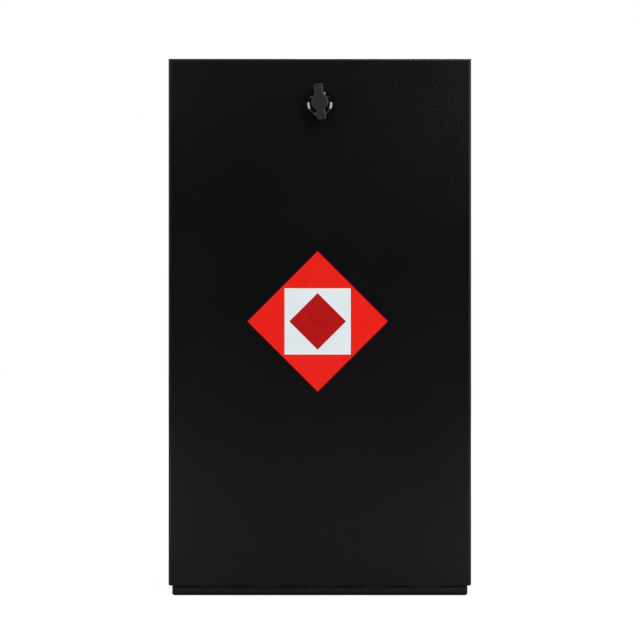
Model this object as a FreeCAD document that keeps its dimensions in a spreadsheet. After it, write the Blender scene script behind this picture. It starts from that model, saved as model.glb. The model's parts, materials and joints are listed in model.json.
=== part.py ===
"""Gas bottle cabinet: a folded steel locker with a drop-down tray door and a wing-knob cam latch.

Millimetres, +Z up, the door faces -Y. The origin is the middle of the base, on the floor.
"""

import FreeCAD, Part
import math
import os
import re
import Sketcher

doc = FreeCAD.newDocument("gas_bottle_cabinet")
Vector = FreeCAD.Vector

# Driving sizes. Lengths in millimetres, angles in degrees.
SIZES = {
    # the whole cabinet
    "cabinet_height": 536.5,
    "cabinet_depth": 300.0,
    "gauge": 1.5,
    "bend": 2.5,
    "fit_gap": 0.3,
    "running_gap": 0.05,
    # door
    "door_width": 302.0,
    "door_lift": 11.0,
    "door_flange": 20.0,
    "hem_height": 14.0,
    "hem_round": 1.35,
    "side_gap": 1.5,
    "top_gap": 1.5,
    # carcass, top and back
    "side_return": 14.0,
    "rear_return": 14.0,
    "sill_height": 40.0,
    "rail_height": 26.0,
    "panel_inset": 3.0,
    "corner_radius": 4.0,
    "fixing_span_x": 220.0,
    "fixing_span_y": 200.0,
    "fixing_hole": 7.0,
    "keeper_width": 64.0,
    "keeper_height": 18.0,
    "keeper_gauge": 2.0,
    "keeper_drop": 6.0,
    "keeper_bevel": 1.2,
    # louvres in the back
    "louvre_length": 150.0,
    "louvre_radius": 9.0,
    "louvre_pitch": 22.0,
    "louvre_rows": 3.0,
    "louvre_low": 52.0,
    "louvre_top_drop": 56.5,
    # hose outlet
    "hose_x": 105.0,
    "hose_drop": 78.5,
    "hose_bore": 15.0,
    "hose_hole": 24.0,
    "grommet_flange": 32.0,
    "grommet_lip": 3.0,
    # bottle bracket
    "bracket_z": 250.0,
    "bracket_plate_width": 46.0,
    "bracket_plate_height": 78.0,
    "bracket_gauge": 3.0,
    "saddle_radius": 122.0,
    "saddle_height": 34.0,
    "saddle_reach": 38.0,
    "strap_slot_width": 5.0,
    "strap_slot_height": 26.0,
    "strap_slot_x": 62.0,
    "bracket_bolt_span": 54.0,
    "bolt_size": 6.0,
    "bolt_head_size": 10.0,
    "bolt_head_depth": 4.0,
    "bolt_nut_depth": 5.1,
    "bolt_overhang": 8.4,
    # continuous hinge
    "barrel_size": 4.6,
    "pin_size": 2.6,
    "pin_bevel": 0.3,
    "leaf_gauge": 1.0,
    "leaf_height": 16.0,
    "leaf_joggle": 0.3,
    "axis_height": 7.2,
    "hinge_inset": 4.0,
    "door_knuckles": 5.0,
    "knuckle_gap": 0.5,
    # blind rivets
    "rivet_size": 3.2,
    "rivet_head": 6.6,
    "rivet_dome": 1.3,
    "rivet_tail": 4.6,
    "rivet_tail_length": 3.2,
    "rivet_edge": 8.0,
    "hinge_rivet_count": 6.0,
    "hinge_rivet_pitch": 48.0,
    "hinge_rivet_drop": 5.0,
    "back_rivet_rows": 5.0,
    "back_rivet_end": 28.0,
    "top_rivet_rows": 3.0,
    "top_rivet_pitch": 100.0,
    # seal
    "seal_width": 9.0,
    "seal_gap": 0.4,
    "seal_edge": 2.5,
    "seal_low": 27.0,
    "seal_top_drop": 5.0,
    "seal_crown": 3.0,
    # latch
    "latch_drop": 45.6,
    "latch_lean": 6.0,
    "bezel_size": 26.4,
    "bezel_rim": 3.6,
    "bezel_land": 0.4,
    "bezel_height": 4.6,
    "bezel_skirt": 2.75,
    "bezel_floor": 2.2,
    "bezel_round": 0.5,
    "gasket_gauge": 1.0,
    "barrel_thread": 20.0,
    "barrel_flats": 18.0,
    "washer_size": 27.0,
    "washer_gauge": 1.2,
    "nut_flats": 26.0,
    "nut_depth": 5.0,
    "spindle_size": 10.0,
    "spindle_square": 7.0,
    "spindle_grip": 11.0,
    "oring_section": 1.7,
    "oring_depth": 4.0,
    "hub_size": 17.2,
    "knob_reach": 20.0,
    "knob_lift": 0.5,
    "knob_tip_gap": 1.0,
    "wing_length": 36.0,
    "wing_width": 9.2,
    "wing_depth": 11.5,
    "wing_round": 1.2,
    "wing_corner": 1.8,
    "wing_underside_round": 0.6,
    "stop_gauge": 1.7,
    "stop_gap": 0.3,
    "stop_hub": 6.3,
    "stop_reach": 8.7,
    "stop_width": 4.0,
    "lug_inner": 6.7,
    "lug_start": 112.0,
    "lug_end": 338.0,
    "cam_gap": 0.4,
    "cam_gauge": 3.0,
    "cam_bevel": 1.2,
    "cam_length": 36.0,
    "cam_width": 16.0,
    "cam_corner": 4.0,
    "cam_washer_size": 14.0,
    "cam_washer_gauge": 1.2,
    "cam_screw_size": 5.0,
    "cam_screw_head": 9.0,
    "cam_screw_head_depth": 3.5,
    "cam_screw_grip": 9.0,
}

# Sizes that follow from the driving ones.
DERIVED = {
    "body_width": "door_width - 2 * gauge - 2 * side_gap",
    "body_top": "cabinet_height - gauge - top_gap",
    "carcass_top": "body_top - gauge",
    "door_front": "-cabinet_depth / 2",
    "door_inner": "door_front + gauge",
    "hem_back": "door_inner + gauge",
    "axis_y": "hem_back + leaf_gauge",
    "frame_front": "axis_y + barrel_size / 2 + leaf_joggle",
    "frame_back": "frame_front + gauge",
    "carcass_back": "cabinet_depth / 2 - gauge",
    "back_inner": "carcass_back - gauge",
    "mouth_half": "body_width / 2 - side_return",
    "rail_low": "body_top - rail_height",
    "bend_inner": "bend - gauge",
    "sheet_cut": "4 * bend",
    "hinge_length": "body_width - 2 * hinge_inset",
    "knuckle_pitch": "hinge_length / (2 * door_knuckles + 1)",
    "knuckle_length": "knuckle_pitch - knuckle_gap",
    "leaf_notch": "axis_height + barrel_size / 2 + knuckle_gap",
    "leaf_top": "axis_height + leaf_height",
    "hinge_rivet_z": "leaf_top - hinge_rivet_drop",
    "rivet_x": "body_width / 2 - rivet_edge",
    "back_rivet_span": "carcass_top - 2 * back_rivet_end",
    "back_rivet_pitch": "back_rivet_span / (back_rivet_rows - 1)",
    "louvre_stack": "louvre_pitch * (louvre_rows - 1)",
    "louvre_span": "carcass_top - louvre_top_drop - louvre_stack - louvre_low",
    "hose_z": "carcass_top - hose_drop",
    "bracket_front": "carcass_back - bracket_gauge",
    "saddle_y": "bracket_front - saddle_radius - bracket_gauge / 2",
    "latch_z": "cabinet_height - latch_drop",
    "cam_front": "frame_back - door_front + keeper_gauge + cam_gap",
    "stop_front": "cam_front - stop_gauge",
    "barrel_end": "stop_front - stop_gap",
    "spindle_bore": "spindle_size / 2 + running_gap",
    "nut_front": "gauge + washer_gauge",
    "cam_back": "cam_front + cam_gauge",
    "screw_seat": "cam_back + cam_washer_gauge",
    "hub_back": "-(bezel_floor + gasket_gauge + knob_lift)",
    "seal_depth": "frame_front - door_inner - seal_gap",
}


def linked(text):
    """Write a formula of size names as an expression that points at the sheets."""
    def link(found):
        name = found.group(0)
        if name in SIZES:
            return "Sizes." + name
        if name in DERIVED:
            return "Derived." + name
        return name
    return re.sub(r"[a-z_]\w*", link, text)


sizes = doc.addObject("Spreadsheet::Sheet", "Sizes")
for row, (name, size) in enumerate(SIZES.items(), start=1):
    sizes.set(f"A{row}", name)
    sizes.set(f"B{row}", str(size))
    sizes.setAlias(f"B{row}", name)
derived = doc.addObject("Spreadsheet::Sheet", "Derived")
for row, (name, formula) in enumerate(DERIVED.items(), start=1):
    derived.set(f"A{row}", name)
    derived.setAlias(f"B{row}", name)
doc.recompute()
for row, (name, formula) in enumerate(DERIVED.items(), start=1):
    text = linked(formula).replace("Derived.", "")
    derived.set(f"B{row}", "=" + text)
doc.recompute()


def value(formula):
    """The present value of a formula of size names."""
    return float(sizes.evalExpression(linked(formula)))


# Small helpers for bodies, sketches and features.
def new_body(label):
    body = doc.addObject("PartDesign::Body", label)
    body.Label = label
    return body


def new_latch_body(label, lean):
    """A body in latch axes: Z runs inward from the door's face along the latch's axis, -Y is up."""
    body = new_body(label)
    turn = FreeCAD.Rotation(Vector(1, 0, 0), -90)
    if lean:
        turn = turn.multiply(FreeCAD.Rotation(Vector(0, 0, 1), -value("latch_lean")))
    body.Placement = FreeCAD.Placement(Vector(0, value("door_front"), value("latch_z")), turn)
    body.setExpression("Placement.Base.y", linked("door_front"))
    body.setExpression("Placement.Base.z", linked("latch_z"))
    return body


def new_sketch(body, plane, name, level="0", shift="0", rise="0"):
    """A sketch parallel to an origin plane at a level, its own origin moved by a shift and a rise."""
    sketch = body.newObject("Sketcher::SketchObject", name)
    support = [part for part in body.Origin.OriginFeatures if part.Role == plane][0]
    sketch.AttachmentSupport = (support, [""])
    sketch.MapMode = "FlatFace"
    sign = "-1 * " if plane == "XZ_Plane" else ""
    sketch.setExpression("AttachmentOffset.Base.z", f"{sign}({linked(level)})")
    sketch.setExpression("AttachmentOffset.Base.x", linked(shift))
    sketch.setExpression("AttachmentOffset.Base.y", linked(rise))
    return sketch


def hold(sketch, kind, formula, *where):
    """Add a dimension to a sketch and tie it to the sheets, or pin a point to an axis where it is 0."""
    if formula == "0":
        axis = -2 if kind == "DistanceX" else -1
        sketch.addConstraint(Sketcher.Constraint("PointOnObject", where[2], where[3], axis))
        return
    index = sketch.addConstraint(Sketcher.Constraint(kind, *where, value(formula)))
    name = f"size_{index}"
    sketch.renameConstraint(index, name)
    sketch.setExpression("Constraints." + name, linked(formula))


def polygon(sketch, corners):
    """A closed outline through corners, each a pair of formulas."""
    points = [Vector(value(x), value(y), 0) for x, y in corners]
    first = sketch.GeometryCount
    count = len(points)
    for index in range(count):
        line = Part.LineSegment(points[index], points[(index + 1) % count])
        sketch.addGeometry(line, False)
    for index in range(count):
        following = first + (index + 1) % count
        sketch.addConstraint(Sketcher.Constraint("Coincident", first + index, 2, following, 1))
    for index, (x, y) in enumerate(corners):
        hold(sketch, "DistanceX", x, -1, 1, first + index, 1)
        hold(sketch, "DistanceY", y, -1, 1, first + index, 1)


def rectangle(sketch, left, right, low, high):
    polygon(sketch, [(left, low), (right, low), (right, high), (left, high)])


def circle(sketch, x, y, radius):
    centre = Vector(value(x), value(y), 0)
    index = sketch.addGeometry(Part.Circle(centre, Vector(0, 0, 1), value(radius)), False)
    hold(sketch, "DistanceX", x, -1, 1, index, 3)
    hold(sketch, "DistanceY", y, -1, 1, index, 3)
    hold(sketch, "Radius", radius, index)


def pad(body, sketch, length, name, both=False, back=False):
    doc.recompute()
    feature = body.newObject("PartDesign::Pad", name)
    feature.Profile = sketch
    feature.setExpression("Length", linked(length))
    feature.SideType = "Symmetric" if both else "One side"
    feature.Reversed = back
    doc.recompute()
    return feature


def pocket(body, sketch, length, name):
    """Cut a sketch's outline to half the length on each side of its plane."""
    doc.recompute()
    feature = body.newObject("PartDesign::Pocket", name)
    feature.Profile = sketch
    feature.setExpression("Length", linked(length))
    feature.SideType = "Symmetric"
    doc.recompute()
    return feature


def turned(body, sketch, axis, name, kind="Revolution", angle="360", back=False):
    doc.recompute()
    feature = body.newObject("PartDesign::" + kind, name)
    feature.Profile = sketch
    feature.ReferenceAxis = (sketch, [axis])
    feature.setExpression("Angle", linked(angle))
    feature.Reversed = back
    doc.recompute()
    return feature


def rounded(body, base, edges, radius, name):
    feature = body.newObject("PartDesign::Fillet", name)
    feature.Base = (base, edges)
    feature.setExpression("Radius", linked(radius))
    doc.recompute()
    return feature


def bevelled(body, base, edges, size, name):
    feature = body.newObject("PartDesign::Chamfer", name)
    feature.Base = (base, edges)
    feature.setExpression("Size", linked(size))
    doc.recompute()
    return feature


def edges_where(shape, test):
    return [f"Edge{index}" for index, edge in enumerate(shape.Edges, start=1) if test(edge)]


def faces_where(shape, test):
    return [f"Face{index}" for index, face in enumerate(shape.Faces, start=1) if test(face)]


def near(a, b):
    return abs(a - b) < 0.01


def along(edge, axis):
    """True for a straight edge that runs along an axis."""
    if not isinstance(edge.Curve, Part.Line):
        return False
    return abs(abs(getattr(edge.Curve.Direction, axis)) - 1) < 1e-6


def row_pattern(body, features, axis, pitch, count, name):
    feature = body.newObject("PartDesign::LinearPattern", name)
    feature.Originals = features
    direction = [part for part in body.Origin.OriginFeatures if part.Role == axis][0]
    feature.Direction = (direction, [""])
    feature.setExpression("Length", linked(f"({pitch}) * (({count}) - 1)"))
    feature.setExpression("Occurrences", linked(count))
    body.Tip = feature
    doc.recompute()
    return feature


def grid_pattern(body, features, rows, name):
    """Repeat features along several axes in turn, each given as axis, span and count."""
    multi = body.newObject("PartDesign::MultiTransform", name)
    multi.Originals = features
    steps = []
    for axis, span, count in rows:
        step = body.newObject("PartDesign::LinearPattern", f"{name}_{axis[0]}")
        direction = [part for part in body.Origin.OriginFeatures if part.Role == axis][0]
        step.Direction = (direction, [""])
        step.setExpression("Length", linked(span))
        step.setExpression("Occurrences", linked(count))
        steps.append(step)
    multi.Transformations = steps
    body.Tip = multi
    doc.recompute()
    return multi


# Carcass: sides, floor and all their returns, folded from one sheet.
carcass = new_body("carcass")
outline = new_sketch(carcass, "XY_Plane", "carcass_outline")
rectangle(outline, "-body_width / 2", "body_width / 2", "frame_front", "carcass_back")
block = pad(carcass, outline, "carcass_top", "carcass_block")
every_edge = edges_where(block.Shape, lambda edge: True)
folded = rounded(carcass, block, every_edge, "bend", "carcass_bends")
core = new_body("carcass_core")
outline = new_sketch(core, "XY_Plane", "core_outline", "gauge")
rectangle(outline, "-body_width / 2 + gauge", "body_width / 2 - gauge", "frame_back", "back_inner")
block = pad(core, outline, "carcass_top - 2 * gauge", "core_block")
every_edge = edges_where(block.Shape, lambda edge: True)
rounded(core, block, every_edge, "bend_inner", "core_bends")
hollow = carcass.newObject("PartDesign::Boolean", "carcass_hollow")
hollow.Type = "Cut"
hollow.setObjects([core])
doc.recompute()
mouth = new_sketch(carcass, "XZ_Plane", "mouth_outline", "frame_front")
rectangle(mouth, "-mouth_half", "mouth_half", "sill_height", "carcass_top + bend")
pocket(carcass, mouth, "sheet_cut", "mouth")
roof = new_sketch(carcass, "XY_Plane", "roof_outline", "carcass_top")
rectangle(roof, "-mouth_half", "mouth_half", "frame_front - bend", "carcass_back - rear_return")
pocket(carcass, roof, "sheet_cut", "roof_opening")
rear = new_sketch(carcass, "XZ_Plane", "rear_outline", "carcass_back")
rectangle(
    rear,
    "-body_width / 2 + rear_return",
    "body_width / 2 - rear_return",
    "rear_return",
    "carcass_top - rear_return",
)
pocket(carcass, rear, "sheet_cut", "rear_opening")
holes = new_sketch(carcass, "XY_Plane", "fixing_circles")
for side in ("-1", "1"):
    for end in ("-1", "1"):
        circle(holes, f"{side} * fixing_span_x / 2", f"{end} * fixing_span_y / 2", "fixing_hole / 2")
pocket(carcass, holes, "sheet_cut", "fixing_holes")
holes = new_sketch(carcass, "XZ_Plane", "sill_rivet_circles", "frame_front")
circle(
    holes,
    "-hinge_rivet_pitch * (hinge_rivet_count - 1) / 2",
    "hinge_rivet_z",
    "rivet_size / 2 + running_gap",
)
hole = pocket(carcass, holes, "sheet_cut", "sill_rivet_hole")
row_pattern(carcass, [hole], "X_Axis", "hinge_rivet_pitch", "hinge_rivet_count", "sill_rivet_holes")
holes = new_sketch(carcass, "XZ_Plane", "rear_rivet_circles", "carcass_back")
circle(holes, "-rivet_x", "back_rivet_end", "rivet_size / 2 + running_gap")
hole = pocket(carcass, holes, "sheet_cut", "rear_rivet_hole")
grid_pattern(
    carcass,
    [hole],
    [("X_Axis", "2 * rivet_x", "2"), ("Z_Axis", "back_rivet_span", "back_rivet_rows")],
    "rear_rivet_holes",
)
holes = new_sketch(carcass, "XY_Plane", "roof_rivet_circles", "carcass_top")
circle(
    holes,
    "-rivet_x",
    "-top_rivet_pitch * (top_rivet_rows - 1) / 2",
    "rivet_size / 2 + running_gap",
)
hole = pocket(carcass, holes, "sheet_cut", "roof_rivet_hole")
grid_pattern(
    carcass,
    [hole],
    [
        ("X_Axis", "2 * rivet_x", "2"),
        ("Y_Axis", "top_rivet_pitch * (top_rivet_rows - 1)", "top_rivet_rows"),
    ],
    "roof_rivet_holes",
)

# Top panel: a flat lid on the carcass's upper returns, its front folded down as the latch rail.
top_panel = new_body("top_panel")
profile = new_sketch(top_panel, "YZ_Plane", "top_profile")
polygon(
    profile,
    [
        ("frame_front", "rail_low"),
        ("frame_front", "body_top"),
        ("carcass_back - bend", "body_top"),
        ("carcass_back - bend", "carcass_top"),
        ("frame_back", "carcass_top"),
        ("frame_back", "rail_low"),
    ],
)
angle = pad(top_panel, profile, "2 * (mouth_half - fit_gap)", "top_angle", both=True)
crest = edges_where(
    angle.Shape,
    lambda edge: along(edge, "x")
    and near(edge.CenterOfMass.y, value("frame_front"))
    and near(edge.CenterOfMass.z, value("body_top")),
)
bent = rounded(top_panel, angle, crest, "bend", "rail_bend_outside")
crease = edges_where(
    bent.Shape,
    lambda edge: along(edge, "x")
    and near(edge.CenterOfMass.y, value("frame_back"))
    and near(edge.CenterOfMass.z, value("carcass_top")),
)
rounded(top_panel, bent, crease, "bend_inner", "rail_bend_inside")
lid = new_sketch(top_panel, "XY_Plane", "lid_outline", "carcass_top")
rectangle(
    lid,
    "-body_width / 2 + panel_inset",
    "body_width / 2 - panel_inset",
    "frame_front + 2 * bend",
    "carcass_back - bend",
)
pad(top_panel, lid, "gauge", "lid_plate")
holes = new_sketch(top_panel, "XY_Plane", "lid_rivet_circles", "carcass_top")
circle(
    holes,
    "-rivet_x",
    "-top_rivet_pitch * (top_rivet_rows - 1) / 2",
    "rivet_size / 2 + running_gap",
)
hole = pocket(top_panel, holes, "sheet_cut", "lid_rivet_hole")
grid_pattern(
    top_panel,
    [hole],
    [
        ("X_Axis", "2 * rivet_x", "2"),
        ("Y_Axis", "top_rivet_pitch * (top_rivet_rows - 1)", "top_rivet_rows"),
    ],
    "lid_rivet_holes",
)

# Keeper: a wear plate behind the rail, which the latch's cam slides behind.
keeper = new_body("keeper_plate")
outline = new_sketch(keeper, "XZ_Plane", "keeper_outline", "frame_back")
rectangle(
    outline,
    "-keeper_width / 2",
    "keeper_width / 2",
    "body_top - keeper_drop - keeper_height",
    "body_top - keeper_drop",
)
plate = pad(keeper, outline, "keeper_gauge", "keeper_pad", back=True)
ends = edges_where(
    plate.Shape,
    lambda edge: along(edge, "z") and near(edge.CenterOfMass.y, value("frame_back + keeper_gauge")),
)
bevelled(keeper, plate, ends, "keeper_bevel", "keeper_lead_in")

# Back panel: riveted to the rear returns, with pressed louvres at low and high level.
back_panel = new_body("back_panel")
outline = new_sketch(back_panel, "XZ_Plane", "back_outline", "carcass_back")
rectangle(
    outline,
    "-body_width / 2 + panel_inset",
    "body_width / 2 - panel_inset",
    "panel_inset",
    "carcass_top - panel_inset",
)
plate = pad(back_panel, outline, "gauge", "back_plate", back=True)
corners = edges_where(plate.Shape, lambda edge: along(edge, "y"))
rounded(back_panel, plate, corners, "corner_radius", "back_corners")
circles = new_sketch(back_panel, "XZ_Plane", "hose_circle", "carcass_back")
circle(circles, "hose_x", "hose_z", "hose_hole / 2")
pocket(back_panel, circles, "sheet_cut", "hose_opening")
circles = new_sketch(back_panel, "XZ_Plane", "bracket_circles", "carcass_back")
for end in ("-1", "1"):
    circle(
        circles,
        "0",
        f"bracket_z + {end} * bracket_bolt_span / 2",
        "bolt_size / 2 + running_gap",
    )
pocket(back_panel, circles, "sheet_cut", "bracket_holes")
circles = new_sketch(back_panel, "XZ_Plane", "back_rivet_circles", "carcass_back")
circle(circles, "-rivet_x", "back_rivet_end", "rivet_size / 2 + running_gap")
hole = pocket(back_panel, circles, "sheet_cut", "back_rivet_hole")
grid_pattern(
    back_panel,
    [hole],
    [("X_Axis", "2 * rivet_x", "2"), ("Z_Axis", "back_rivet_span", "back_rivet_rows")],
    "back_rivet_holes",
)


def half_stadium(sketch, half, radius):
    """An outline with quarter-round ends, standing on its long straight edge on the sketch's axis."""
    inner = f"{half} - ({radius})"
    x_out = value(half)
    x_in = value(inner)
    r = value(radius)
    upward = Vector(0, 0, 1)
    base = sketch.addGeometry(Part.LineSegment(Vector(-x_out, 0, 0), Vector(x_out, 0, 0)))
    round_end = Part.Circle(Vector(x_in, 0, 0), upward, r)
    right = sketch.addGeometry(Part.ArcOfCircle(round_end, 0, math.pi / 2))
    crown = sketch.addGeometry(Part.LineSegment(Vector(x_in, r, 0), Vector(-x_in, r, 0)))
    round_end = Part.Circle(Vector(-x_in, 0, 0), upward, r)
    left = sketch.addGeometry(Part.ArcOfCircle(round_end, math.pi / 2, math.pi))
    chain = (base, right, crown, left)
    for line, following in zip(chain, chain[1:] + chain[:1]):
        sketch.addConstraint(Sketcher.Constraint("Coincident", line, 2, following, 1))
    for side, end in (("1", right), ("-1", left)):
        hold(sketch, "DistanceX", f"{side} * ({inner})", -1, 1, end, 3)
        hold(sketch, "DistanceY", "0", -1, 1, end, 3)
    for side, end in (("-1", 1), ("1", 2)):
        hold(sketch, "DistanceX", f"{side} * {half}", -1, 1, base, end)
    hold(sketch, "DistanceY", "0", -1, 1, base, 1)
    sketch.addConstraint(Sketcher.Constraint("Horizontal", base))
    sketch.addConstraint(Sketcher.Constraint("Horizontal", crown))
    sketch.addConstraint(Sketcher.Constraint("Tangent", crown, right))


hood = new_sketch(back_panel, "XZ_Plane", "louvre_hood", "carcass_back", rise="louvre_low")
half_stadium(hood, "louvre_length / 2", "louvre_radius")
shell = turned(back_panel, hood, "H_Axis", "louvre_shell", angle="90", back=True)
throat = new_sketch(back_panel, "XZ_Plane", "louvre_throat", "carcass_back", rise="louvre_low")
half_stadium(throat, "(louvre_length / 2 - gauge)", "louvre_radius - gauge")
cave = turned(back_panel, throat, "H_Axis", "louvre_cave", "Groove", "90", back=True)
grid_pattern(
    back_panel,
    [shell, cave],
    [("Z_Axis", "louvre_stack", "louvre_rows"), ("Z_Axis", "louvre_span", "2")],
    "louvres",
)


# Blind rivets, as groups of equal rivets turned and repeated.
def rivet_profile(sketch, face, end, out, upright):
    """Half a set rivet along the sketch's axis: head on a face, tail beyond the grip's end."""
    steps = [
        (f"{face} + {out} * rivet_dome * 0.55", "0"),
        (f"{face} + {out} * rivet_dome * 0.55", "rivet_size * 0.25"),
        (f"{face} + {out} * rivet_dome", "rivet_size * 0.34"),
        (f"{face} + {out} * rivet_dome * 0.8", "rivet_head * 0.31"),
        (f"{face} + {out} * rivet_dome * 0.4", "rivet_head * 0.44"),
        (f"{face}", "rivet_head / 2"),
        (f"{face}", "rivet_size / 2"),
        (f"{end}", "rivet_size / 2"),
        (f"{end}", "rivet_tail / 2"),
        (f"{end} - {out} * rivet_tail_length * 0.7", "rivet_tail / 2"),
        (f"{end} - {out} * rivet_tail_length", "rivet_tail * 0.3"),
        (f"{end} - {out} * rivet_tail_length", "0"),
    ]
    if upright:
        steps = [(reach, place) for place, reach in steps]
    polygon(sketch, steps)


hinge_rivets = new_body("hinge_rivets")
hinge_rivets.AllowCompound = True
profile = new_sketch(
    hinge_rivets,
    "YZ_Plane",
    "hinge_rivet_profile",
    "-hinge_rivet_pitch * (hinge_rivet_count - 1) / 2",
    rise="hinge_rivet_z",
)
rivet_profile(profile, "(frame_front - leaf_gauge)", "frame_back", "-1", upright=False)
rivet = turned(hinge_rivets, profile, "H_Axis", "hinge_rivet")
row_pattern(hinge_rivets, [rivet], "X_Axis", "hinge_rivet_pitch", "hinge_rivet_count", "hinge_rivet_row")

back_rivets = new_body("back_rivets")
back_rivets.AllowCompound = True
profile = new_sketch(back_rivets, "YZ_Plane", "back_rivet_profile", "-rivet_x", rise="back_rivet_end")
rivet_profile(profile, "(carcass_back + gauge)", "back_inner", "1", upright=False)
rivet = turned(back_rivets, profile, "H_Axis", "back_rivet")
grid_pattern(
    back_rivets,
    [rivet],
    [("X_Axis", "2 * rivet_x", "2"), ("Z_Axis", "back_rivet_span", "back_rivet_rows")],
    "back_rivet_grid",
)

top_rivets = new_body("top_rivets")
top_rivets.AllowCompound = True
profile = new_sketch(
    top_rivets,
    "XZ_Plane",
    "top_rivet_profile",
    "-top_rivet_pitch * (top_rivet_rows - 1) / 2",
    shift="-rivet_x",
)
rivet_profile(profile, "body_top", "(carcass_top - gauge)", "1", upright=True)
rivet = turned(top_rivets, profile, "V_Axis", "top_rivet")
grid_pattern(
    top_rivets,
    [rivet],
    [
        ("X_Axis", "2 * rivet_x", "2"),
        ("Y_Axis", "top_rivet_pitch * (top_rivet_rows - 1)", "top_rivet_rows"),
    ],
    "top_rivet_grid",
)

# Hose grommet: a rubber ring that grips the edge of the hose hole.
grommet = new_body("hose_grommet")
profile = new_sketch(grommet, "YZ_Plane", "grommet_profile", "hose_x", rise="hose_z")
polygon(
    profile,
    [
        ("carcass_back - grommet_lip", "hose_bore / 2"),
        ("carcass_back - grommet_lip", "grommet_flange / 2 - grommet_lip * 0.8"),
        ("carcass_back - grommet_lip * 0.4", "grommet_flange / 2"),
        ("carcass_back", "grommet_flange / 2"),
        ("carcass_back", "hose_hole / 2 - running_gap"),
        ("carcass_back + gauge", "hose_hole / 2 - running_gap"),
        ("carcass_back + gauge", "grommet_flange / 2"),
        ("carcass_back + gauge + grommet_lip * 0.4", "grommet_flange / 2"),
        ("carcass_back + gauge + grommet_lip", "grommet_flange / 2 - grommet_lip * 0.8"),
        ("carcass_back + gauge + grommet_lip", "hose_bore / 2"),
    ],
)
turned(grommet, profile, "H_Axis", "grommet_ring")


# Bottle bracket: a curved saddle with strap slots on a bolted plate.
def ring_sector(sketch, inner, outer, start, end):
    """A ring sector about the sketch's origin, between two angles measured from its X axis."""
    angles = (math.radians(value(start)), math.radians(value(end)))
    upward = Vector(0, 0, 1)
    near_circle = Part.Circle(Vector(0, 0, 0), upward, value(inner))
    far_circle = Part.Circle(Vector(0, 0, 0), upward, value(outer))
    far = sketch.addGeometry(Part.ArcOfCircle(far_circle, *angles))
    close = sketch.addGeometry(Part.ArcOfCircle(near_circle, *angles))

    def spot(radius, angle):
        return Vector(value(radius) * math.cos(angle), value(radius) * math.sin(angle), 0)

    first = sketch.addGeometry(Part.LineSegment(spot(inner, angles[0]), spot(outer, angles[0])))
    last = sketch.addGeometry(Part.LineSegment(spot(outer, angles[1]), spot(inner, angles[1])))
    sketch.addConstraint(Sketcher.Constraint("Coincident", first, 2, far, 1))
    sketch.addConstraint(Sketcher.Constraint("Coincident", far, 2, last, 1))
    sketch.addConstraint(Sketcher.Constraint("Coincident", last, 2, close, 2))
    sketch.addConstraint(Sketcher.Constraint("Coincident", close, 1, first, 1))
    sketch.addConstraint(Sketcher.Constraint("Coincident", far, 3, -1, 1))
    sketch.addConstraint(Sketcher.Constraint("Coincident", close, 3, -1, 1))
    hold(sketch, "Radius", outer, far)
    hold(sketch, "Radius", inner, close)
    hold(sketch, "DistanceX", f"({outer}) * cos({start})", -1, 1, far, 1)
    hold(sketch, "DistanceX", f"({outer}) * cos({end})", -1, 1, far, 2)
    hold(sketch, "DistanceX", f"({inner}) * cos({start})", -1, 1, close, 1)
    hold(sketch, "DistanceX", f"({inner}) * cos({end})", -1, 1, close, 2)


def hexagon(sketch, x, y, flats):
    half = f"({flats}) / 2"
    point = f"({flats}) / sqrt(3)"
    polygon(
        sketch,
        [
            (f"{x} + {point}", y),
            (f"{x} + {point} / 2", f"{y} + {half}"),
            (f"{x} - {point} / 2", f"{y} + {half}"),
            (f"{x} - {point}", y),
            (f"{x} - {point} / 2", f"{y} - {half}"),
            (f"{x} + {point} / 2", f"{y} - {half}"),
        ],
    )


bracket = new_body("bottle_bracket")
outline = new_sketch(bracket, "XZ_Plane", "bracket_outline", "carcass_back")
rectangle(
    outline,
    "-bracket_plate_width / 2",
    "bracket_plate_width / 2",
    "bracket_z - bracket_plate_height / 2",
    "bracket_z + bracket_plate_height / 2",
)
plate = pad(bracket, outline, "bracket_gauge", "bracket_plate")
corners = edges_where(plate.Shape, lambda edge: along(edge, "y"))
rounded(bracket, plate, corners, "corner_radius", "bracket_corners")
curve = new_sketch(bracket, "XY_Plane", "saddle_curve", "bracket_z", rise="saddle_y")
ring_sector(
    curve,
    "saddle_radius",
    "saddle_radius + bracket_gauge",
    "90 - saddle_reach",
    "90 + saddle_reach",
)
saddle = pad(bracket, curve, "saddle_height", "saddle", both=True)
tips = edges_where(
    saddle.Shape,
    lambda edge: isinstance(edge.Curve, Part.Line)
    and near(abs(edge.CenterOfMass.z - value("bracket_z")), value("saddle_height / 2"))
    and abs(edge.CenterOfMass.x) > value("saddle_radius * sin(saddle_reach)") - 0.01,
)
rounded(bracket, saddle, tips, "corner_radius", "saddle_tips")
slots = new_sketch(bracket, "XZ_Plane", "strap_slots", "bracket_front")
for side in ("-1", "1"):
    rectangle(
        slots,
        f"{side} * strap_slot_x - strap_slot_width / 2",
        f"{side} * strap_slot_x + strap_slot_width / 2",
        "bracket_z - strap_slot_height / 2",
        "bracket_z + strap_slot_height / 2",
    )
pocket(bracket, slots, "2 * saddle_radius", "strap_slot_cut")
circles = new_sketch(bracket, "XZ_Plane", "plate_circles", "carcass_back")
for end in ("-1", "1"):
    circle(
        circles,
        "0",
        f"bracket_z + {end} * bracket_bolt_span / 2",
        "bolt_size / 2 + running_gap",
    )
pocket(bracket, circles, "sheet_cut", "plate_holes")

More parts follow.
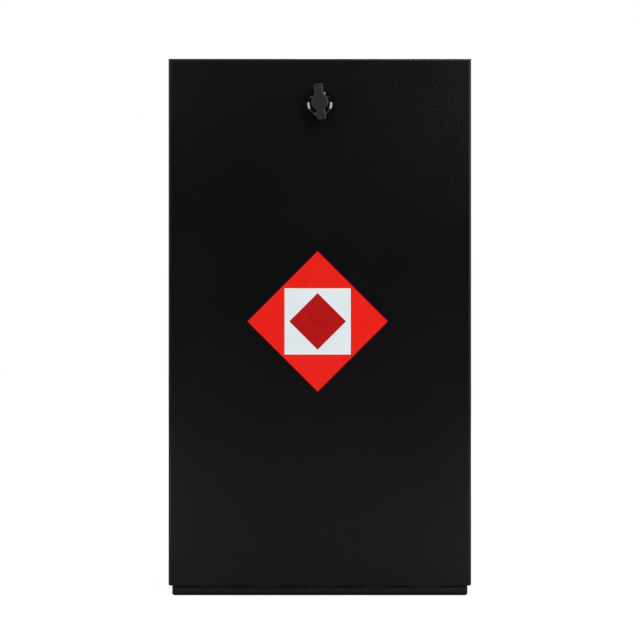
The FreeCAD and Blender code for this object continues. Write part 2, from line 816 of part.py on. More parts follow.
bolts = new_body("bracket_bolts")
bolts.AllowCompound = True
heads = new_sketch(bolts, "XZ_Plane", "bolt_heads", "bracket_front")
shanks = new_sketch(bolts, "XZ_Plane", "bolt_shanks", "bracket_front")
for end in ("-1", "1"):
    level = f"bracket_z + {end} * bracket_bolt_span / 2"
    hexagon(heads, "0", level, "bolt_head_size")
    circle(shanks, "0", level, "bolt_size / 2")
pad(bolts, heads, "bolt_head_depth", "bolt_head_pads")
pad(bolts, shanks, "bracket_gauge + gauge + bolt_overhang", "bolt_shank_pads", back=True)

nuts = new_body("bracket_nuts")
nuts.AllowCompound = True
rings = new_sketch(nuts, "XZ_Plane", "nut_rings", "carcass_back + gauge")
for end in ("-1", "1"):
    level = f"bracket_z + {end} * bracket_bolt_span / 2"
    hexagon(rings, "0", level, "bolt_head_size")
    circle(rings, "0", level, "bolt_size / 2 + running_gap")
pad(nuts, rings, "bolt_nut_depth", "nut_pads", back=True)


# Continuous hinge: two leaves with alternate rolled knuckles on one pin. The door's leaf is cranked
# to the pin's plane, so that its knuckles hide under the hem, and the body's leaf is straight.
def hinge_leaf(label, leaf_front, root, first, count):
    """A leaf with a count of knuckles, the first at a distance along it, each tongue down to a root."""
    body = new_body(label)
    leaf = new_sketch(body, "YZ_Plane", label + "_section")
    leaf_back = f"{leaf_front} + leaf_gauge"
    rectangle(leaf, leaf_front, leaf_back, "leaf_notch", "leaf_top")
    pad(body, leaf, "hinge_length", label + "_plate", both=True)
    start = f"-hinge_length / 2 + knuckle_gap / 2 + {first}"
    ring = new_sketch(body, "YZ_Plane", label + "_ring", start)
    circle(ring, "axis_y", "axis_height", "barrel_size / 2")
    circle(ring, "axis_y", "axis_height", "pin_size / 2 + running_gap")
    knuckle = pad(body, ring, "knuckle_length", label + "_knuckle")
    strip = new_sketch(body, "YZ_Plane", label + "_strip", start)
    rectangle(strip, leaf_front, leaf_back, root, "leaf_notch + leaf_gauge")
    tongue = pad(body, strip, "knuckle_length", label + "_tongue")
    row_pattern(body, [knuckle, tongue], "X_Axis", "2 * knuckle_pitch", count, label + "_knuckles")
    return body


wall_middle = "axis_height + (pin_size + barrel_size) / 4"
hinge_leaf("hinge_door_leaf", "hem_back", wall_middle, "knuckle_pitch", "door_knuckles")
body_front = "frame_front - leaf_gauge"
body_leaf = hinge_leaf("hinge_body_leaf", body_front, "axis_height", "0", "door_knuckles + 1")
circles = new_sketch(body_leaf, "XZ_Plane", "leaf_rivet_circles", "frame_front")
circle(
    circles,
    "-hinge_rivet_pitch * (hinge_rivet_count - 1) / 2",
    "hinge_rivet_z",
    "rivet_size / 2 + running_gap",
)
hole = pocket(body_leaf, circles, "sheet_cut", "leaf_rivet_hole")
row_pattern(body_leaf, [hole], "X_Axis", "hinge_rivet_pitch", "hinge_rivet_count", "leaf_rivet_holes")

pin = new_body("hinge_pin")
section = new_sketch(pin, "YZ_Plane", "pin_section")
circle(section, "axis_y", "axis_height", "pin_size / 2")
rod = pad(pin, section, "hinge_length", "pin_rod", both=True)
rims = edges_where(rod.Shape, lambda edge: isinstance(edge.Curve, Part.Circle))
bevelled(pin, rod, rims, "pin_bevel", "pin_ends")

# Door panel: a shallow tray with a hemmed lower edge.
door = new_body("door_panel")
outline = new_sketch(door, "XZ_Plane", "door_outline", "door_front")
rectangle(outline, "-door_width / 2", "door_width / 2", "door_lift", "cabinet_height")
block = pad(door, outline, "door_flange", "door_block", back=True)
open_faces = faces_where(
    block.Shape,
    lambda face: near(face.CenterOfMass.y, value("door_front + door_flange"))
    or near(face.CenterOfMass.z, value("door_lift")),
)
tray = door.newObject("PartDesign::Thickness", "door_tray")
tray.Base = (block, open_faces)
tray.setExpression("Value", linked("gauge"))
tray.Reversed = True
tray.Join = "Intersection"
doc.recompute()
brow = edges_where(
    tray.Shape,
    lambda edge: near(edge.CenterOfMass.y, value("door_front"))
    and edge.CenterOfMass.z > value("door_lift") + 1,
)
folded = rounded(door, tray, brow, "bend", "door_bends")
crease = edges_where(
    folded.Shape,
    lambda edge: near(edge.CenterOfMass.y, value("door_inner"))
    and edge.CenterOfMass.z > value("door_lift") + 1,
)
rounded(door, folded, crease, "bend_inner", "door_bends_inside")
hem = new_sketch(door, "XZ_Plane", "hem_outline", "door_inner")
rectangle(
    hem,
    "-door_width / 2 + bend",
    "door_width / 2 - bend",
    "door_lift",
    "door_lift + hem_height",
)
fold = pad(door, hem, "gauge", "door_hem", back=True)
lip = edges_where(
    fold.Shape,
    lambda edge: along(edge, "x")
    and near(edge.CenterOfMass.z, value("door_lift"))
    and (near(edge.CenterOfMass.y, value("door_front")) or near(edge.CenterOfMass.y, value("hem_back"))),
)
rounded(door, fold, lip, "hem_round", "hem_rounding")


def double_flat(sketch, radius, half):
    """A round hole with two upright flats, about the sketch's origin."""
    r = value(radius)
    f = value(half)
    h = math.sqrt(r * r - f * f)
    angle = math.atan2(h, f)
    ring = Part.Circle(Vector(0, 0, 0), Vector(0, 0, 1), r)
    top = sketch.addGeometry(Part.ArcOfCircle(ring, angle, math.pi - angle))
    left = sketch.addGeometry(Part.LineSegment(Vector(-f, h, 0), Vector(-f, -h, 0)))
    low = sketch.addGeometry(Part.ArcOfCircle(ring, math.pi + angle, 2 * math.pi - angle))
    right = sketch.addGeometry(Part.LineSegment(Vector(f, -h, 0), Vector(f, h, 0)))
    chain = (top, left, low, right)
    for line, following in zip(chain, chain[1:] + chain[:1]):
        sketch.addConstraint(Sketcher.Constraint("Coincident", line, 2, following, 1))
    for arc in (top, low):
        sketch.addConstraint(Sketcher.Constraint("Coincident", arc, 3, -1, 1))
        hold(sketch, "Radius", radius, arc)
    for side, line in (("-1", left), ("1", right)):
        sketch.addConstraint(Sketcher.Constraint("Vertical", line))
        hold(sketch, "DistanceX", f"{side} * ({half})", -1, 1, line, 1)


opening = new_sketch(door, "XZ_Plane", "latch_opening", "door_front", rise="latch_z")
double_flat(opening, "barrel_thread / 2 + running_gap", "barrel_flats / 2 + running_gap")
pocket(door, opening, "sheet_cut", "latch_hole")

# Door seal: a crowned rubber frame on the door's inner face.
seal = new_body("door_seal")
frame = new_sketch(seal, "XZ_Plane", "seal_outline", "door_inner")
rectangle(
    frame,
    "-body_width / 2 + seal_edge",
    "body_width / 2 - seal_edge",
    "seal_low",
    "body_top - seal_top_drop",
)
rectangle(
    frame,
    "-body_width / 2 + seal_edge + seal_width",
    "body_width / 2 - seal_edge - seal_width",
    "seal_low + seal_width",
    "body_top - seal_top_drop - seal_width",
)
ring = pad(seal, frame, "seal_depth", "seal_ring", back=True)
crown = edges_where(ring.Shape, lambda edge: near(edge.CenterOfMass.y, value("door_inner + seal_depth")))
rounded(seal, ring, crown, "seal_crown", "seal_crowned")

# Latch, fixed parts: housing with a conical bezel, gasket, lock washer and nut.
housing = new_latch_body("latch_housing", lean=False)
profile = new_sketch(housing, "XZ_Plane", "housing_profile")
polygon(
    profile,
    [
        ("spindle_bore", "barrel_end"),
        ("spindle_bore", "-gasket_gauge - bezel_floor"),
        ("bezel_size / 2 - bezel_rim", "-gasket_gauge - bezel_floor"),
        ("bezel_size / 2 - bezel_rim", "-gasket_gauge - bezel_height"),
        ("bezel_size / 2 - bezel_rim + bezel_land", "-gasket_gauge - bezel_height"),
        ("bezel_size / 2", "-gasket_gauge - bezel_skirt"),
        ("bezel_size / 2", "-gasket_gauge"),
        ("barrel_thread / 2", "-gasket_gauge"),
        ("barrel_thread / 2", "barrel_end"),
    ],
)
turned_part = turned(housing, profile, "V_Axis", "housing_turning")
brim = edges_where(
    turned_part.Shape,
    lambda edge: isinstance(edge.Curve, Part.Circle)
    and near(edge.Curve.Radius, value("bezel_size / 2"))
    and edge.CenterOfMass.z < value("-gasket_gauge") - 1,
)
rounded(housing, turned_part, brim, "bezel_round", "bezel_brim")
flats = new_sketch(housing, "XY_Plane", "housing_flats", "(barrel_end - gasket_gauge) / 2")
for side in ("-1", "1"):
    rectangle(
        flats,
        f"{side} * (barrel_flats + 2 * barrel_thread) / 4 - (2 * barrel_thread - barrel_flats) / 4",
        f"{side} * (barrel_flats + 2 * barrel_thread) / 4 + (2 * barrel_thread - barrel_flats) / 4",
        "-barrel_thread",
        "barrel_thread",
    )
pocket(housing, flats, "barrel_end + gasket_gauge", "housing_flat_cuts")
lugs = new_sketch(housing, "XY_Plane", "stop_lug", "barrel_end")
ring_sector(lugs, "lug_inner", "barrel_flats / 2 - fit_gap", "lug_start - latch_lean", "lug_end - latch_lean")
pad(housing, lugs, "cam_front - cam_gap - barrel_end", "stop_lug_pad")

gasket = new_latch_body("latch_gasket", lean=False)
profile = new_sketch(gasket, "XZ_Plane", "gasket_profile")
rectangle(
    profile,
    "barrel_thread / 2 + running_gap",
    "bezel_size / 2 - gasket_gauge / 2",
    "-gasket_gauge",
    "0",
)
turned(gasket, profile, "V_Axis", "gasket_ring")

lock_washer = new_latch_body("latch_lock_washer", lean=False)
section = new_sketch(lock_washer, "XY_Plane", "lock_washer_ring", "gauge")
circle(section, "0", "0", "washer_size / 2")
double_flat(section, "barrel_thread / 2 + running_gap", "barrel_flats / 2 + running_gap")
pad(lock_washer, section, "washer_gauge", "lock_washer_pad")

nut = new_latch_body("latch_nut", lean=False)
section = new_sketch(nut, "XY_Plane", "nut_section", "nut_front")
hexagon(section, "0", "0", "nut_flats")
circle(section, "0", "0", "barrel_thread / 2 + running_gap")
pad(nut, section, "nut_depth", "nut_block")
points = new_sketch(nut, "XZ_Plane", "nut_points")
polygon(
    points,
    [
        ("nut_flats / 2", "nut_front + nut_depth"),
        ("nut_flats * 0.6", "nut_front + nut_depth"),
        ("nut_flats * 0.6", "nut_front + nut_depth - nut_flats * 0.06"),
    ],
)
turned(nut, points, "V_Axis", "nut_chamfer", "Groove")

# Latch, turning parts: knob, spindle, O-ring, stop, cam, washer and screw.
knob = new_latch_body("wing_knob", lean=True)
section = new_sketch(knob, "XY_Plane", "wing_outline", "-knob_reach")
rectangle(section, "-wing_width / 2", "wing_width / 2", "-wing_length / 2", "wing_length / 2")
wing = pad(knob, section, "wing_depth", "wing")
ends = edges_where(wing.Shape, lambda edge: along(edge, "z"))
rounded(knob, wing, ends, "wing_corner", "wing_ends")
section = new_sketch(knob, "XY_Plane", "hub_outline", "-knob_reach")
circle(section, "0", "0", "hub_size / 2")
hub = pad(knob, section, "knob_reach + hub_back", "hub")
crest = edges_where(hub.Shape, lambda edge: near(edge.CenterOfMass.z, value("-knob_reach")))
soft = rounded(knob, hub, crest, "wing_round", "knob_crest")
belly = edges_where(
    soft.Shape,
    lambda edge: near(edge.CenterOfMass.z, value("wing_depth - knob_reach"))
    and edge.BoundBox.ZLength < 0.01
    and edge.CenterOfMass.distanceToPoint(Vector(0, 0, edge.CenterOfMass.z)) > value("hub_size / 2"),
)
rounded(knob, soft, belly, "wing_underside_round", "knob_belly")
socket = new_sketch(knob, "XY_Plane", "knob_socket", "hub_back")
circle(socket, "0", "0", "spindle_size / 2 + running_gap / 2")
pocket(knob, socket, "2 * (spindle_grip + knob_tip_gap)", "knob_bore")

spindle = new_latch_body("spindle", lean=True)
profile = new_sketch(spindle, "XZ_Plane", "spindle_profile")
polygon(
    profile,
    [
        ("0", "hub_back - spindle_grip"),
        ("spindle_size / 2", "hub_back - spindle_grip"),
        ("spindle_size / 2", "oring_depth - 0.6 * oring_section"),
        ("spindle_bore - oring_section - 2 * running_gap", "oring_depth - 0.6 * oring_section"),
        ("spindle_bore - oring_section - 2 * running_gap", "oring_depth + 0.6 * oring_section"),
        ("spindle_size / 2", "oring_depth + 0.6 * oring_section"),
        ("spindle_size / 2", "stop_front"),
        ("0", "stop_front"),
    ],
)
turned(spindle, profile, "V_Axis", "spindle_turning")
section = new_sketch(spindle, "XY_Plane", "spindle_tang", "stop_front")
half = "spindle_square / 2"
rectangle(section, "-" + half, half, "-" + half, half)
pad(spindle, section, "cam_back - stop_front - running_gap", "spindle_square_end")
section = new_sketch(spindle, "XY_Plane", "screw_hole", "cam_back")
circle(section, "0", "0", "cam_screw_size / 2 + running_gap")
pocket(spindle, section, "2 * cam_screw_grip", "screw_bore")

oring = new_latch_body("spindle_oring", lean=True)
section = new_sketch(oring, "XZ_Plane", "oring_section_outline")
circle(section, "spindle_bore - running_gap - oring_section / 2", "oring_depth", "oring_section / 2")
turned(oring, section, "V_Axis", "oring_turning")

stop = new_latch_body("stop_washer", lean=True)
section = new_sketch(stop, "XY_Plane", "stop_tongue", "stop_front")
rectangle(section, "spindle_square / 2 + stop_gauge / 4", "stop_reach", "-stop_width / 2", "stop_width / 2")
pad(stop, section, "stop_gauge", "stop_tongue_pad")
section = new_sketch(stop, "XY_Plane", "stop_ring", "stop_front")
circle(section, "0", "0", "stop_hub")
half = "(spindle_square / 2 + running_gap)"
rectangle(section, "-" + half, half, "-" + half, half)
pad(stop, section, "stop_gauge", "stop_ring_pad")

cam = new_latch_body("cam", lean=True)
section = new_sketch(cam, "XY_Plane", "cam_arm", "cam_front")
rectangle(section, "-cam_length", "0", "-cam_width / 2", "cam_width / 2")
arm = pad(cam, section, "cam_gauge", "cam_arm_pad")
tip = edges_where(
    arm.Shape,
    lambda edge: along(edge, "z") and near(edge.CenterOfMass.x, value("-cam_length")),
)
rounded(cam, arm, tip, "cam_corner", "cam_tip")
section = new_sketch(cam, "XY_Plane", "cam_eye", "cam_front")
circle(section, "0", "0", "cam_width / 2")
eye = pad(cam, section, "cam_gauge", "cam_eye_pad")
nose = edges_where(
    eye.Shape,
    lambda edge: along(edge, "y")
    and near(edge.CenterOfMass.x, value("-cam_length"))
    and near(edge.CenterOfMass.z, value("cam_front")),
)
bevelled(cam, eye, nose, "cam_bevel", "cam_nose")
section = new_sketch(cam, "XY_Plane", "cam_square", "cam_front")
half = "(spindle_square / 2 + running_gap)"
rectangle(section, "-" + half, half, "-" + half, half)
pocket(cam, section, "2 * cam_gauge", "cam_square_hole")

cam_washer = new_latch_body("cam_washer", lean=True)
section = new_sketch(cam_washer, "XY_Plane", "cam_washer_ring", "cam_back")
circle(section, "0", "0", "cam_washer_size / 2")
circle(section, "0", "0", "cam_screw_size / 2 + 2 * running_gap")
pad(cam_washer, section, "cam_washer_gauge", "cam_washer_pad")

screw = new_latch_body("cam_screw", lean=True)
section = new_sketch(screw, "XY_Plane", "screw_head", "screw_seat")
hexagon(section, "0", "0", "cam_screw_head")
pad(screw, section, "cam_screw_head_depth", "screw_head_pad")
points = new_sketch(screw, "XZ_Plane", "screw_points")
polygon(
    points,
    [
        ("cam_screw_head / 2", "screw_seat + cam_screw_head_depth"),
        ("cam_screw_head * 0.6", "screw_seat + cam_screw_head_depth"),
        ("cam_screw_head * 0.6", "screw_seat + cam_screw_head_depth - cam_screw_head * 0.06"),
    ],
)
turned(screw, points, "V_Axis", "screw_chamfer", "Groove")
section = new_sketch(screw, "XY_Plane", "screw_shank", "screw_seat")
circle(section, "0", "0", "cam_screw_size / 2")
pad(screw, section, "cam_screw_grip", "screw_shank_pad", back=True)

# Check every object, then write one file per piece.
doc.recompute()
broken = [item.Name for item in doc.Objects if {"Invalid", "Error"} & set(item.State)]
if broken:
    raise RuntimeError(f"broken objects: {broken}")
os.makedirs("parts", exist_ok=True)
for item in doc.Objects:
    if item.TypeId != "PartDesign::Body" or item is core:
        continue
    if item.Shape.isNull() or not item.Shape.isValid():
        raise RuntimeError(f"{item.Label} has no valid shape")
    item.Shape.exportStep(f"parts/{item.Label}.step")
    print(item.Label, len(item.Shape.Solids), "solids", round(item.Shape.Volume), "mm3")
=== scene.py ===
# %% [markdown]
# # A gas bottle cabinet, dressed for a studio photograph
# The solids of the cabinet come in as a fixed frame, in metres, with the door towards -Y.
# This lesson gives every solid its finish and adds the thin or fine pieces that are made as
# meshes: the vinyl label, the rubber seal, and the threaded bolts and nuts. The camera, the
# lamps, the room and the floor come last.

# %% Load the frame
import json
import math

import bpy
import numpy as np
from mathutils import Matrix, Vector


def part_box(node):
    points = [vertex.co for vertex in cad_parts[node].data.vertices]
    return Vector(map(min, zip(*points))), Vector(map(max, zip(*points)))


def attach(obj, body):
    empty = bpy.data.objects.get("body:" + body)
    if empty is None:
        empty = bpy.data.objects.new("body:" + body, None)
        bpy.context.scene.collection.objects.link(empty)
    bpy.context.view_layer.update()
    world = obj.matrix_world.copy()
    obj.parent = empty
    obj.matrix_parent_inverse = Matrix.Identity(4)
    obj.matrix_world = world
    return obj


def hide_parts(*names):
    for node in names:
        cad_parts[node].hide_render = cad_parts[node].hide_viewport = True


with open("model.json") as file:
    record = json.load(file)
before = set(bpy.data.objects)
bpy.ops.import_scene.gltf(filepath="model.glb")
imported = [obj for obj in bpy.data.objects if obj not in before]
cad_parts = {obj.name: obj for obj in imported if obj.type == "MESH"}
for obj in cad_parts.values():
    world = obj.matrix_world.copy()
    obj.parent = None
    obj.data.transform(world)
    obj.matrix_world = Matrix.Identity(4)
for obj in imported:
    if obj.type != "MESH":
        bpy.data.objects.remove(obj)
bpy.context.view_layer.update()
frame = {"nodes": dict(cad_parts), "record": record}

nodes = frame["nodes"]

# %% [markdown]
# ## Units and colours
# Sizes are written in millimetres, as on a drawing, and turned to metres in one place.
# Colours are written as sRGB hex values, as a colour picker shows them. A shader works in
# linear light, so one function turns the hex value to linear.

# %% Units and colours
MM = 0.001


def linear(hex_colour):
    """sRGB hex to linear RGBA.

    A channel c becomes c / 12.92 in dark tones, else (c + 0.055) / 1.055 to the power 2.4.
    """
    channels = np.array([int(hex_colour[i:i + 2], 16) for i in (1, 3, 5)]) / 255
    upper = ((channels + 0.055) / 1.055) ** 2.4
    light = np.where(channels <= 0.04045, channels / 12.92, upper)
    return (*light.tolist(), 1.0)


def per_metre(size_mm):
    """A texture's scale for features of a real size: how many fit in a metre."""
    return 1 / (size_mm * MM)


print("a 2 mm grain has scale", per_metre(2.0))

# %% [markdown]
# ## One function for nodes
# A shader is a small graph. One function adds any kind of node, sets its properties and the
# values of its sockets, and links other nodes' outputs to it. A material then reads as a list
# of steps, and a constant goes straight onto the socket that uses it. A noise seldom leaves
# the middle of its range, so most steps that follow a noise read only that span of it.

# %% Node helper
NOISE_SPAN = (0.3, 0.7)


def add(tree, kind, values=None, links=None, **properties):
    """Add a node of a kind, with its properties, its sockets' values and the links that feed it."""
    node = tree.nodes.new("ShaderNode" + kind)
    for name, value in properties.items():
        setattr(node, name, value)
    for socket, value in (values or {}).items():
        node.inputs[socket].default_value = value
    for socket, source in (links or {}).items():
        tree.links.new(source, node.inputs[socket])
    return node


def from_to(old, new):
    """The socket values that take one span of numbers to another."""
    return {"From Min": old[0], "From Max": old[1], "To Min": new[0], "To Max": new[1]}


def new_material(name):
    """An empty material: its tree, and the place on the piece in metres that patterns read."""
    material = bpy.data.materials.new(name)
    material.use_nodes = True
    material.node_tree.nodes.clear()
    place = add(material.node_tree, "TexCoord").outputs["Object"]
    return material, material.node_tree, place


print("a noise is read from", NOISE_SPAN[0], "to", NOISE_SPAN[1])

# %% [markdown]
# ## Black polyester powder coat
# The sheet metal is sprayed with charged powder and baked. The film flows but keeps a slight
# orange peel, a few millimetres across, and a fine grain on top. That gives a near-black satin
# face whose reflections are broad and a little sandy. The relief is too low to show in an
# outline, so it is a bump in the shader and not in the mesh. Two noises make it, and a third,
# much larger, lets the gloss wander as it does on a sprayed sheet. The grain of the real film
# is about half a millimetre; it is drawn coarser, so that it shows at one pixel to a millimetre.

# %% Powder coat
PEEL_MM = 3.0
PEEL_HEIGHT_MM = 0.15
GRAIN_MM = 1.5
GRAIN_HEIGHT_MM = 0.06
GLOSS_PATCH_MM = 90.0
FILM_SPAN = (0.35, 0.65)
FILM_SPECULAR = 0.22


def powder_coat(name, dark, light, gloss):
    """Satin black film: gloss is the range of roughness from the shiniest patch to the dullest."""
    material, tree, place = new_material(name)
    patch = add(
        tree, "TexNoise", {"Scale": per_metre(GLOSS_PATCH_MM), "Detail": 2.0}, {"Vector": place}
    )
    roughness = add(tree, "MapRange", from_to(FILM_SPAN, gloss), {"Value": patch.outputs["Fac"]})
    peel = add(tree, "TexNoise", {"Scale": per_metre(PEEL_MM), "Detail": 3.0}, {"Vector": place})
    grain = add(tree, "TexNoise", {"Scale": per_metre(GRAIN_MM), "Detail": 3.0}, {"Vector": place})
    wavy = add(
        tree, "Bump", {"Strength": 1.0, "Distance": PEEL_HEIGHT_MM * MM},
        {"Height": peel.outputs["Fac"]},
    )
    sandy = add(
        tree, "Bump", {"Strength": 0.35, "Distance": GRAIN_HEIGHT_MM * MM},
        {"Height": grain.outputs["Fac"], "Normal": wavy.outputs["Normal"]},
    )
    tint = add(tree, "ValToRGB", links={"Fac": grain.outputs["Fac"]})
    for stop, position, colour in zip(tint.color_ramp.elements, FILM_SPAN, (dark, light)):
        stop.position = position
        stop.color = linear(colour)
    film = add(
        tree, "BsdfPrincipled", {"IOR": 1.5, "Specular IOR Level": FILM_SPECULAR},
        {
            "Base Color": tint.outputs["Color"],
            "Roughness": roughness.outputs["Result"],
            "Normal": sandy.outputs["Normal"],
        },
    )
    add(tree, "OutputMaterial", links={"Surface": film.outputs["BSDF"]})
    return material


coat = powder_coat("polyester_powder_coat_black", "#050505", "#080808", (0.29, 0.32))
hinge_coat = powder_coat("hinge_powder_coat_black", "#0b0b0b", "#111111", (0.29, 0.33))
print("made", coat.name, hinge_coat.name)

# %% [markdown]
# ## Lacquered rivets
# The blind rivets are aluminium with a sprayed black lacquer. Lacquer is smoother than powder,
# so a rivet's dome shows a small sharp highlight. Fine specks in the film break that highlight
# up, so one noise drives both the gloss and a faint bump. The specks are drawn coarser than they
# are, so that they show.

# %% Rivet lacquer
SPECK_MM = 1.2
SPECK_HEIGHT_MM = 0.03
LACQUER_GLOSS = (0.22, 0.38)


def rivet_lacquer():
    """Smooth black film under a thin clear coat, with fine specks in its gloss."""
    material, tree, place = new_material("black_lacquered_aluminium")
    speck = add(tree, "TexNoise", {"Scale": per_metre(SPECK_MM), "Detail": 2.0}, {"Vector": place})
    roughness = add(
        tree, "MapRange", from_to(NOISE_SPAN, LACQUER_GLOSS), {"Value": speck.outputs["Fac"]}
    )
    bump = add(
        tree, "Bump", {"Strength": 0.15, "Distance": SPECK_HEIGHT_MM * MM},
        {"Height": speck.outputs["Fac"]},
    )
    film = add(
        tree, "BsdfPrincipled",
        {"Base Color": linear("#121212"), "IOR": 1.5, "Coat Weight": 0.3},
        {"Roughness": roughness.outputs["Result"], "Normal": bump.outputs["Normal"]},
    )
    add(tree, "OutputMaterial", links={"Surface": film.outputs["BSDF"]})
    return material


lacquer = rivet_lacquer()
print("made", lacquer.name)

# %% [markdown]
# ## Bright zinc plate and turned steel
# The cam, its screw and keeper, the bolts, nuts and washers are steel with a thin bright zinc
# plating, passivated to a faint blue. Plating grows in small crystals, so the gloss is mottled.
# The crystals are drawn about a millimetre wide, so that they show. The spindle is bare turned
# steel: fine rings run round its axis. One function serves both, because rings are the same
# noise drawn out across the axis.

# %% Zinc plate and turned steel
CRYSTAL_HEIGHT_MM = 0.02


def plated_metal(name, dark, light, gloss, crystal_mm, stretch):
    """Mottled metal: crystals of a real size; a scale below 1 along an axis draws them out."""
    material, tree, place = new_material(name)
    spread = add(tree, "Mapping", {"Scale": stretch}, {"Vector": place})
    crystal = add(
        tree, "TexNoise", {"Scale": per_metre(crystal_mm), "Detail": 4.0, "Roughness": 0.6},
        {"Vector": spread.outputs["Vector"]},
    )
    tint = add(tree, "ValToRGB", links={"Fac": crystal.outputs["Fac"]})
    for stop, position, colour in zip(tint.color_ramp.elements, NOISE_SPAN, (dark, light)):
        stop.position = position
        stop.color = linear(colour)
    roughness = add(
        tree, "MapRange", from_to(NOISE_SPAN, gloss), {"Value": crystal.outputs["Fac"]}
    )
    bump = add(
        tree, "Bump", {"Strength": 0.12, "Distance": CRYSTAL_HEIGHT_MM * MM},
        {"Height": crystal.outputs["Fac"]},
    )
    metal = add(
        tree, "BsdfPrincipled", {"Metallic": 1.0},
        {
            "Base Color": tint.outputs["Color"],
            "Roughness": roughness.outputs["Result"],
            "Normal": bump.outputs["Normal"],
        },
    )
    add(tree, "OutputMaterial", links={"Surface": metal.outputs["BSDF"]})
    return material


EVEN = (1.0, 1.0, 1.0)
RINGS_ABOUT_Y = (0.2, 1.0, 0.2)
zinc = plated_metal("bright_zinc_plate", "#a4a8ae", "#c9ccd0", (0.24, 0.42), 1.1, EVEN)
turned_steel = plated_metal("turned_steel", "#9a9a9b", "#bcbcbd", (0.2, 0.34), 0.5, RINGS_ABOUT_Y)
print("made", zinc.name, turned_steel.name)

# %% [markdown]
# ## Rubbers
# The door seal is extruded EPDM: matt and very dark, with tiny pores and duller patches where
# wax has come to the surface. The latch's gasket and O-ring take the same rubber. The hose
# grommet is moulded and a little shinier. Rubber never goes fully black, because its powdery
# surface scatters a little light, so the roughness is high and the colour is a grey. The pores
# are a bump, drawn coarser than they are, so that they show.

# %% Rubbers
PORE_HEIGHT_MM = 0.05
BLOOM_MM = 35.0


def rubber(name, colour, gloss, pore_mm):
    """Matt rubber: a bump of fine pores, and gloss that wanders with the bloom."""
    material, tree, place = new_material(name)
    pores = add(tree, "TexNoise", {"Scale": per_metre(pore_mm), "Detail": 4.0}, {"Vector": place})
    bloom = add(tree, "TexNoise", {"Scale": per_metre(BLOOM_MM), "Detail": 3.0}, {"Vector": place})
    roughness = add(tree, "MapRange", from_to(NOISE_SPAN, gloss), {"Value": bloom.outputs["Fac"]})
    bump = add(
        tree, "Bump", {"Strength": 0.3, "Distance": PORE_HEIGHT_MM * MM},
        {"Height": pores.outputs["Fac"]},
    )
    body = add(
        tree, "BsdfPrincipled", {"Base Color": linear(colour), "IOR": 1.52, "Sheen Weight": 0.08},
        {"Roughness": roughness.outputs["Result"], "Normal": bump.outputs["Normal"]},
    )
    add(tree, "OutputMaterial", links={"Surface": body.outputs["BSDF"]})
    return material


epdm = rubber("extruded_epdm", "#1a1a1a", (0.66, 0.8), 0.6)
grommet_rubber = rubber("moulded_rubber", "#171717", (0.45, 0.58), 0.9)
print("made", epdm.name, grommet_rubber.name)

# %% [markdown]
# ## Black chrome of the latch's bezel
# The bezel is die-cast zinc with a black chrome plating: a dark mirror that shows the soft
# boxes as two bright arcs. A ramp over the distance from the latch's axis makes the mirror
# bright in a band on the crown of the ring and almost black along its edges. The band is a
# painted highlight: it is set where the arcs of the soft boxes show, and the dark edges dim
# every other reflection. A ramp follows the ring exactly, where a painted map would need an
# unwrapping.

# %% Black chrome
RING_MM = (9.0, 14.0)
CROWN_MM = (10.5, 12.0)
CROWN_BLUR_MM = 0.3
ACROSS_Y = (1.0, 0.0, 1.0)
HAZE_MM = 6.0
CHROME_GLOSS = (0.07, 0.12)
joints = frame["record"]["behaviour"]["joints"]
latch_axis = next(joint["pos_m"] for joint in joints if joint["name"] == "latch_turn")


def black_chrome(bright, dark):
    """Dark mirror: a painted highlight band between the crown's two radii, and dark elsewhere."""
    material, tree, place = new_material("black_chrome_plate")
    arm = add(tree, "VectorMath", {1: latch_axis}, {0: place}, operation="SUBTRACT")
    across = add(
        tree, "VectorMath", {1: ACROSS_Y}, {0: arm.outputs["Vector"]}, operation="MULTIPLY"
    )
    radius = add(tree, "VectorMath", links={0: across.outputs["Vector"]}, operation="LENGTH")
    ring = [edge * MM for edge in RING_MM]
    share = add(tree, "MapRange", from_to(ring, (0.0, 1.0)), {"Value": radius.outputs["Value"]})
    plating_and_arc_band = add(tree, "ValToRGB", links={"Fac": share.outputs["Result"]})
    for end in plating_and_arc_band.color_ramp.elements:
        end.color = linear(dark)
    # The band between the crown's two radii is painted highlight, set where the soft boxes' arcs
    # show.
    for edge, side in zip(CROWN_MM, (-1, 1)):
        for reach, colour in ((0, bright), (side * CROWN_BLUR_MM, dark)):
            position = (edge + reach - RING_MM[0]) / (RING_MM[1] - RING_MM[0])
            plating_and_arc_band.color_ramp.elements.new(position).color = linear(colour)
    haze = add(tree, "TexNoise", {"Scale": per_metre(HAZE_MM), "Detail": 3.0}, {"Vector": place})
    roughness = add(
        tree, "MapRange", from_to(NOISE_SPAN, CHROME_GLOSS), {"Value": haze.outputs["Fac"]}
    )
    mirror = add(
        tree, "BsdfPrincipled", {"Metallic": 1.0},
        {"Base Color": plating_and_arc_band.outputs["Color"], "Roughness": roughness.outputs["Result"]},
    )
    add(tree, "OutputMaterial", links={"Surface": mirror.outputs["BSDF"]})
    return material


# The first colour is the painted highlight band on the crown, the second the dark chrome elsewhere.
chrome = black_chrome("#6c6c6e", "#242426")
print("made", chrome.name, "about", list(latch_axis))

# %% [markdown]
# ## Moulded nylon of the wing knob
# The knob is moulded glass-filled nylon: dark grey and satin, with the fine grain that spark
# erosion leaves in its mould. The grain breaks the shine a little, so one noise drives both the
# gloss and a low bump, and the solid's rounded edges still catch thin lines of light. The grain
# is drawn coarser than it is, so that it shows.

# %% Nylon
MOULD_GRAIN_MM = 0.7
MOULD_HEIGHT_MM = 0.03
NYLON_GLOSS = (0.32, 0.42)


